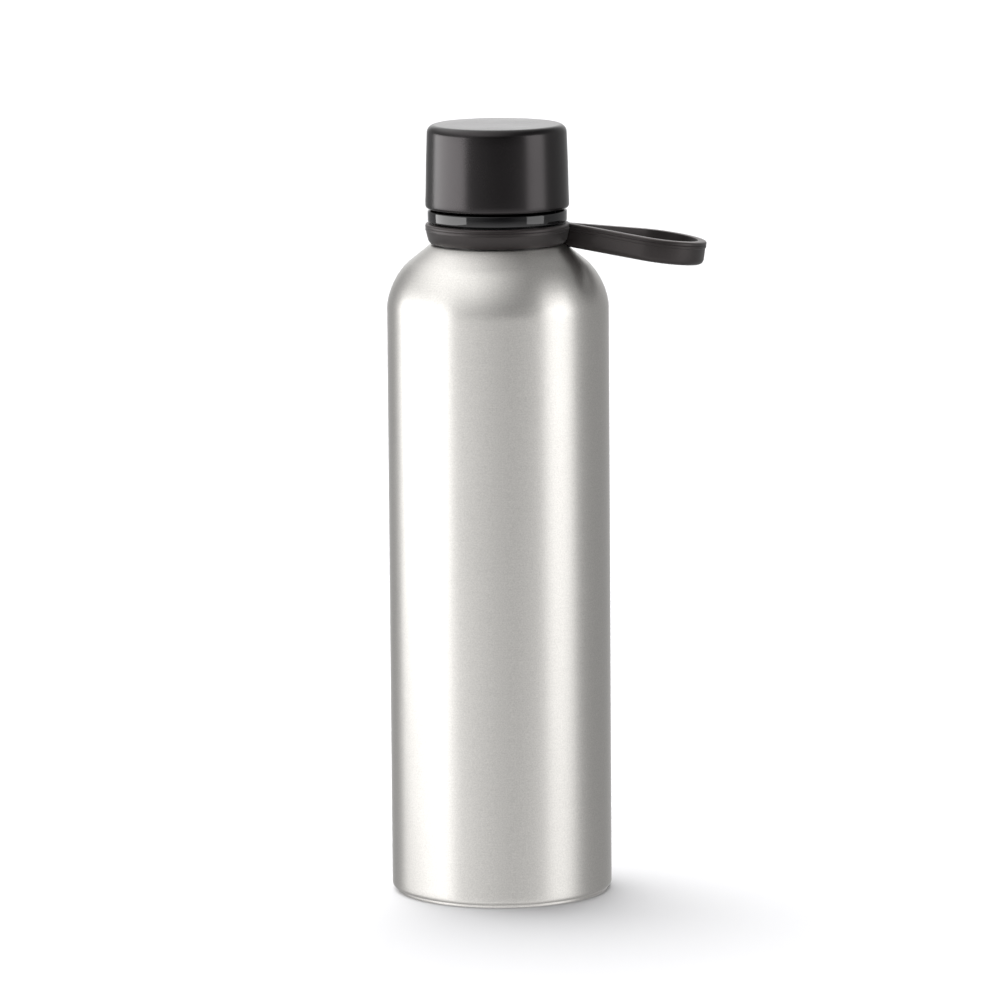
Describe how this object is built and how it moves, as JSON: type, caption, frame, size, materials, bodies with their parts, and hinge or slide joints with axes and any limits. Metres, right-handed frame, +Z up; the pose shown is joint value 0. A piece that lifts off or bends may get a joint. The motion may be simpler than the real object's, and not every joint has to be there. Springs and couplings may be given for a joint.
{
  "type": "water bottle",
  "caption": "Insulated steel water bottle with a threaded neck collar, a screw cap and a silicone carry strap with a finger loop.",
  "frame": {"origin": "centre of the base plane, on the bottle's axis", "axes": "+Z up the bottle's axis towards the cap; +X from the axis to the middle of the strap's finger loop"},
  "size_m": [0.1051, 0.073, 0.255],
  "materials": {
    "steel": "fine satin brushing round the axis",
    "solder": "dull solder bead",
    "gloss_black": "polished",
    "soft_black": "satin, soft touch",
    "core_black": "satin moulding",
    "foam": "closed-cell foam",
    "seal_silicone": "matte silicone",
    "strap_silicone": "matte silicone"
  },
  "bodies": {
    "bottle": {"outer_shell": "steel", "outer_base": "steel", "base_cover": "steel", "vacuum_seal": "solder", "vacuum_getter": "steel", "inner_vessel": "steel", "inner_base": "steel", "neck_collar": "gloss_black"},
    "gasket": {"cap_gasket": "seal_silicone"},
    "cap": {"cap_shell": "soft_black", "cap_core": "core_black", "cap_plug_disc": "core_black", "cap_foam": "foam"},
    "strap": {"strap_ring": "strap_silicone"},
    "loop": {"strap_loop": "strap_silicone"}
  },
  "joints": [
    {"name": "cap_rise", "type": "slide", "parent": "bottle", "child": "gasket", "axis": [0, 0, 1], "range_m": [0, 0.027]},
    {"name": "cap_turn", "type": "hinge", "parent": "gasket", "child": "cap", "pos_m": [0, 0, 0.24], "axis": [0, 0, 1], "range_deg": [0, 1080]},
    {"name": "strap_swivel", "type": "hinge", "parent": "bottle", "child": "strap", "pos_m": [0, 0, 0.2192], "axis": [0, 0, 1], "continuous": true},
    {"name": "strap_flex", "type": "hinge", "parent": "strap", "child": "loop", "pos_m": [0.02775, 0, 0.2177], "axis": [0, 1, 0], "range_deg": [-75, 35], "stiffness_Nm_per_rad": 0.05}
  ],
  "couplings": [
    {"joint": "cap_turn", "follows": "cap_rise", "rad_per_m": 698.13}
  ]
}
